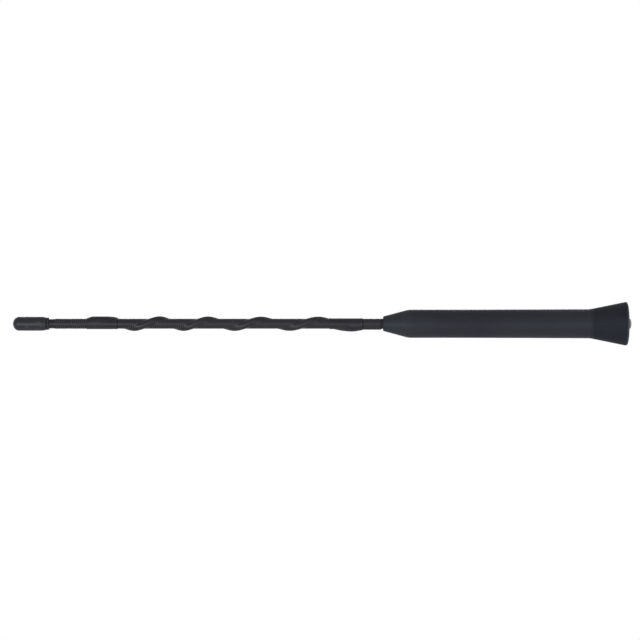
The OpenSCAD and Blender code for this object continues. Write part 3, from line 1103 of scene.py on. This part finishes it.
def heat_shrink():
    """Shrunk polyolefin tube: it shines on its ribs and ridges, with fine lengthwise draw marks. Its
    ribs are painted pale as a highlight, with painted shade between them and just below each band's
    lower end, and a darker ring is painted on it just above the grip's mouth.
    """
    colours = bpy.context.scene.aerial_colours
    material, place = new_material("heat_shrink_polyolefin")
    drawn = speckle(material, place, 0.5, stretch=(1, 1, 12))
    cloud = speckle(material, place, 5)
    height = height_of(material, place)
    rib, over_cord = (
        add_node(
            material, "ShaderNodeAttribute", attribute_name=name, attribute_type="GEOMETRY"
        ).outputs["Fac"]
        for name in (RIB_ATTRIBUTE, DRAWN_ATTRIBUTE)
    )

    def total(*parts):
        """Adds up what changes a value, and holds it between 0 and 1."""
        result = parts[0]
        for part in parts[1:]:
            result = calculate(material, "ADD", result, part)
        result.node.use_clamp = True
        return result

    lighter_share = total(
        spread(material, height, *DULL_TO_GLOSSY, 0.6, 0.2),
        spread(material, cloud, 0.3, 0.7, -0.1, 0.12),
    )
    # Painted shade just below each band's lower end and between the ribs, and a darker ring just above
    # the grip's mouth
    shade_and_dark_ring = total(
        # A darker ring painted round the sleeve just above the grip's mouth
        near_height(material, place, MOUTH_Z + 0.65 * MM, 0.1 * MM, 0.45 * MM),
        # Painted shade in the corner just below each band's lower end
        near_height(material, place, LOWER_BAND_ENDS[0] - 0.1 * MM, 0.12 * MM, 0.15 * MM),
        near_height(material, place, UPPER_BAND_ENDS[0] - 0.1 * MM, 0.12 * MM, 0.15 * MM),
        # Painted shade between the ribs
        spread(material, rib, -1, 0, 0.8, 0),
    )
    toned = blend_colours(material, lighter_share, colours.sleeve, colours.sleeve_worn)
    # Painted highlight: the ribs' crests are paled towards the rib colour
    rubbed = blend_colours(
        material, spread(material, rib, 0, 0.5, 0, 0.9), toned, colours.sleeve_rib_highlight
    )
    base = blend_colours(material, shade_and_dark_ring, rubbed, colours.shade_and_ring_colour)
    inputs = {
        "Base Color": base,
        "Roughness": total(
            spread(material, height, *DULL_TO_GLOSSY, 0.5, 0.34),
            spread(material, cloud, 0.3, 0.7, -0.03, 0.03),
            spread(material, rib, 0, 1, 0, -0.1),
            spread(material, over_cord, 0, 1, 0, -0.1),
            spread(material, shade_and_dark_ring, 0, 1, 0, 0.2),
        ),
        "Specular IOR Level": 0.17,
        "Specular Tint": colours.sleeve_shine,
        "Normal": raise_surface(material, drawn, 0.006, 0.4),
    }
    return finish_surface(material, colours.sleeve, inputs)


def heat_shrink_band():
    """The same tube, recovered further, so that it is smoother and a little duller."""
    colours = bpy.context.scene.aerial_colours
    material, place = new_material("heat_shrink_band")
    drawn = speckle(material, place, 0.7, stretch=(1, 1, 8))
    base = blend_colours(
        material, spread(material, drawn, 0.35, 0.7, 0.15, 0.7), colours.sleeve, colours.sleeve_worn
    )
    inputs = {
        "Base Color": base,
        "Roughness": spread(material, drawn, 0.3, 0.7, 0.38, 0.44),
        "Specular IOR Level": 0.17,
        "Specular Tint": colours.sleeve_shine,
        "Normal": raise_surface(material, drawn, 0.005, 0.4),
    }
    return finish_surface(material, colours.sleeve, inputs)


def cap_plastic():
    """Moulded polyethylene: smooth and faintly waxy, with small scuffs and painted shade in its
    groove.
    """
    colours, cap = bpy.context.scene.aerial_colours, bpy.context.scene.aerial_cap
    material, place = new_material("moulded_polyethylene")
    scuffs = speckle(material, place, 0.9, detail=4, stretch=(1, 1, 2.2))
    grain = speckle(material, place, 0.18, detail=3)
    scuffed = blend_colours(
        material, spread(material, scuffs, 0.58, 0.72, 0, 0.8), colours.cap, colours.cap_scuffed
    )
    groove_z = CAP_ENDS[0] + cap.lip_len + cap.groove
    # Painted shade in the groove above the lip, which also makes it rough
    shade_and_dark_ring = near_height(material, place, groove_z, cap.groove * 0.7, cap.groove * 0.4)
    base = blend_colours(material, shade_and_dark_ring, scuffed, colours.shade_and_ring_colour)
    shine = spread(material, scuffs, 0.45, 0.7, 0.3, 0.45)
    inputs = {
        "Base Color": base,
        "Roughness": calculate(material, "MAXIMUM", shine, shade_and_dark_ring),
        "Specular IOR Level": 0.17,
        "Specular Tint": colours.cap_shine,
        "Normal": raise_surface(material, grain, 0.006, 0.4),
    }
    return finish_surface(material, colours.cap, inputs)


def plated_steel():
    """Zinc-plated steel: satin and slightly green, with the turning tool's fine rings."""
    colours = bpy.context.scene.aerial_colours
    material, place = new_material("zinc_plated_steel")
    rings = speckle(material, place, 0.12, detail=3, stretch=(40, 40, 1))
    patches = speckle(material, place, 1.4)
    base = blend_colours(
        material,
        spread(material, patches, 0.3, 0.7, 0, 1),
        colours.plating,
        colours.plating_dull,
    )
    inputs = {
        "Base Color": base,
        "Metallic": 1.0,
        "Roughness": spread(material, patches, 0.3, 0.7, 0.28, 0.42),
        "Normal": raise_surface(material, rings, 0.006, 0.5),
    }
    return finish_surface(material, colours.plating, inputs)


def glass_fibre():
    """Pultruded glass fibre: straw-coloured resin with fibres that run along the rod."""
    colours = bpy.context.scene.aerial_colours
    material, place = new_material("pultruded_glass_fibre")
    fibres = speckle(material, place, 0.1, detail=3, stretch=(1, 1, 90))
    base = blend_colours(material, fibres, colours.glass_fibre, colours.glass_fibre_dark)
    inputs = {
        "Base Color": base,
        "Roughness": spread(material, fibres, 0.3, 0.7, 0.35, 0.5),
        "Normal": raise_surface(material, fibres, 0.01, 0.5),
    }
    return finish_surface(material, colours.glass_fibre, inputs)


def enamelled_copper():
    """Enamelled copper wire: warm metal under a clear coat, darker where the enamel is thick."""
    colours = bpy.context.scene.aerial_colours
    material, place = new_material("enamelled_copper")
    tarnish = speckle(material, place, 1.5)
    base = blend_colours(material, tarnish, colours.copper_dark, colours.copper)
    inputs = {
        "Base Color": base,
        "Metallic": 1.0,
        "Roughness": spread(material, tarnish, 0.3, 0.7, 0.25, 0.4),
        "Coat Weight": 0.6,
        "Coat Roughness": 0.15,
    }
    return finish_surface(material, colours.copper, inputs)


def nylon_cord():
    """Twisted nylon cord: dull grey filaments that run along its strands."""
    colours = bpy.context.scene.aerial_colours
    material, place = new_material("twisted_nylon")
    filaments = speckle(material, place, 0.05, detail=3, stretch=(1, 1, 8))
    base = blend_colours(material, filaments, colours.nylon_dark, colours.nylon)
    inputs = {
        "Base Color": base,
        "Roughness": spread(material, filaments, 0.3, 0.7, 0.55, 0.75),
        "Sheen Weight": 0.2,
        "Normal": raise_surface(material, filaments, 0.01, 0.5),
    }
    return finish_surface(material, colours.nylon, inputs)


def floor_paint(studio):
    """Matt pale paint that fades out towards the floor's rim, so that no edge shows.

    The camera sees it nearly white, with the object's shadow, and sees through it from below.
    """
    colours = bpy.context.scene.aerial_colours
    radius = studio.floor_r
    material, place = new_material("pale_floor")
    away = add_node(material, "ShaderNodeVectorMath", {0: place}, operation="LENGTH").outputs[1]
    tone = speckle(material, place, 60)
    base = blend_colours(
        material, spread(material, tone, 0.3, 0.7, 0, 0.06), colours.floor, (0.8, 0.8, 0.8, 1)
    )
    paint = add_node(
        material,
        "ShaderNodeBsdfPrincipled",
        {"Base Color": base, "Roughness": 0.8, "Specular IOR Level": 0.2},
    )
    white = add_node(material, "ShaderNodeEmission", {"Color": (1, 1, 1, 1), "Strength": 1.0})
    seen = add_node(material, "ShaderNodeLightPath").outputs["Is Camera Ray"]
    glow = calculate(material, "MULTIPLY", seen, studio.floor_glow)
    whitened = add_node(
        material, "ShaderNodeMixShader", {0: glow, 1: paint.outputs[0], 2: white.outputs[0]}
    )
    clear = add_node(material, "ShaderNodeBsdfTransparent")
    below = add_node(material, "ShaderNodeNewGeometry").outputs["Backfacing"]
    fade = spread(material, away, radius * 0.45, radius * 0.98, 0, 1)
    see_through = calculate(material, "MAXIMUM", fade, below)
    faded = add_node(
        material,
        "ShaderNodeMixShader",
        {0: see_through, 1: whitened.outputs[0], 2: clear.outputs[0]},
    )
    return finish_material(material, faded, colours.floor)


class AERIAL_OT_camera(bpy.types.Operator):
    """Add the camera at the photograph's angle: it looks along +Y, with the tip on the left"""

    bl_idname = "aerial.camera"
    bl_label = "Camera"

    def execute(self, context):
        studio = context.scene.aerial_studio
        bpy.ops.object.select_all(action="DESELECT")
        bpy.ops.object.camera_add()
        camera = context.object
        camera.name = "photo_camera"
        camera.matrix_world = Matrix(
            (
                (0, 1, 0, studio.view_x),
                (0, 0, -1, -studio.distance),
                (-1, 0, 0, studio.view_z),
                (0, 0, 0, 1),
            )
        )
        camera.data.sensor_width = 36
        camera.data.lens = camera.data.sensor_width * studio.distance / studio.view_width
        camera.data.clip_start = 0.05
        camera.data.clip_end = 20
        context.scene.camera = camera
        return {"FINISHED"}


def area_lamp(name, place, target, width, height, power):
    """A lamp that faces a target. Its height is along the mast."""
    bpy.ops.object.select_all(action="DESELECT")
    bpy.ops.object.light_add(type="AREA", location=place)
    lamp = bpy.context.object
    lamp.name = name
    lamp.rotation_euler = (Vector(target) - Vector(place)).to_track_quat("-Z", "Y").to_euler()
    lamp.data.shape = "RECTANGLE"
    lamp.data.size = width
    lamp.data.size_y = height
    lamp.data.energy = power


class AERIAL_OT_studio(bpy.types.Operator):
    """Add the pale floor, the soft lamps and the white surroundings"""

    bl_idname = "aerial.studio"
    bl_label = "Studio"

    def execute(self, context):
        studio = context.scene.aerial_studio
        context.scene.view_settings.view_transform = "Standard"
        bpy.ops.object.select_all(action="DESELECT")
        bpy.ops.mesh.primitive_circle_add(
            vertices=128, radius=studio.floor_r, fill_type="NGON", location=(0, 0, studio.floor_z)
        )
        floor = context.object
        floor.name = "studio_floor"
        floor.data.materials.append(floor_paint(studio))
        body = (0, 0, 0.05)
        middle = (0, 0, 0.11)
        tip = (0, 0, 0.19)
        area_lamp("key", (-0.17, -0.75, -0.05), body, 0.42, 0.3, studio.key)
        area_lamp("tip_lamp", (-0.15, -0.7, 0.34), tip, 0.38, 0.28, studio.tip_lamp)
        area_lamp("side_lamp", (-0.13, -0.68, 0.6), middle, 0.2, 0.17, studio.side_lamp)
        area_lamp("top_fill", (0.2, -0.75, 0.12), middle, 0.45, 0.5, studio.top_fill)
        area_lamp("low_fill", (-0.7, -0.2, 0.15), middle, 0.5, 0.5, studio.low_fill)
        area_lamp("back_key", (0.16, 0.75, -0.02), body, 0.35, 0.3, studio.back)
        area_lamp("back_tip_lamp", (0.12, 0.7, 0.34), tip, 0.35, 0.3, studio.back)
        self.light_world(context, studio)
        return {"FINISHED"}

    @staticmethod
    def light_world(context, studio):
        """A dim even light that cameras and reflections see as white."""
        world = bpy.data.worlds.new("studio")
        context.scene.world = world
        world.use_nodes = True
        world.node_tree.nodes.clear()
        path = add_node(world, "ShaderNodeLightPath")
        seen = path.outputs["Is Camera Ray"]
        for other in ("Is Glossy Ray", "Is Transmission Ray"):
            seen = calculate(world, "MAXIMUM", seen, path.outputs[other])
        dim = add_node(
            world, "ShaderNodeBackground", {"Color": (1, 1, 1, 1), "Strength": studio.ambient}
        )
        white = add_node(world, "ShaderNodeBackground", {"Color": (1, 1, 1, 1), "Strength": 1.0})
        mixed = add_node(
            world, "ShaderNodeMixShader", {0: seen, 1: dim.outputs[0], 2: white.outputs[0]}
        )
        add_node(world, "ShaderNodeOutputWorld", {"Surface": mixed.outputs[0]})


class AERIAL_PT_panel(bpy.types.Panel):
    """Lists the aerial's pieces in the sidebar"""

    bl_idname = "AERIAL_PT_panel"
    bl_label = "Roof mast aerial"
    bl_space_type = "VIEW_3D"
    bl_region_type = "UI"
    bl_category = "Aerial"

    def draw(self, context):
        column = self.layout.column(align=True)
        for operator in OPERATORS:
            column.operator(operator.bl_idname)
        for name, group in GROUPS.items():
            box = self.layout.box()
            box.label(text=group.__doc__)
            for key in group.__annotations__:
                box.prop(getattr(context.scene, name), key)


OPERATORS = (
    AERIAL_OT_camera,
    AERIAL_OT_sleeve,
    AERIAL_OT_bands,
    AERIAL_OT_cord,
    AERIAL_OT_wire,
    AERIAL_OT_tip_cap,
    AERIAL_OT_grip,
    AERIAL_OT_stud_fitting,
    AERIAL_OT_rod,
    AERIAL_OT_studio,
)


def register():
    for cls in (*GROUPS.values(), *OPERATORS, AERIAL_PT_panel):
        bpy.utils.register_class(cls)
    for name, group in GROUPS.items():
        setattr(bpy.types.Scene, name, PointerProperty(type=group))


def unregister():
    for name in GROUPS:
        delattr(bpy.types.Scene, name)
    for cls in (AERIAL_PT_panel, *reversed(OPERATORS), *reversed(list(GROUPS.values()))):
        bpy.utils.unregister_class(cls)


def main():
    register()
    bpy.ops.aerial.camera()
    bpy.ops.aerial.sleeve()
    bpy.ops.aerial.bands()
    bpy.ops.aerial.cord()
    bpy.ops.aerial.wire()
    bpy.ops.aerial.tip_cap()
    bpy.ops.aerial.grip()
    bpy.ops.aerial.stud_fitting()
    bpy.ops.aerial.rod()
    bpy.ops.aerial.studio()


if __name__ == "__main__":
    main()
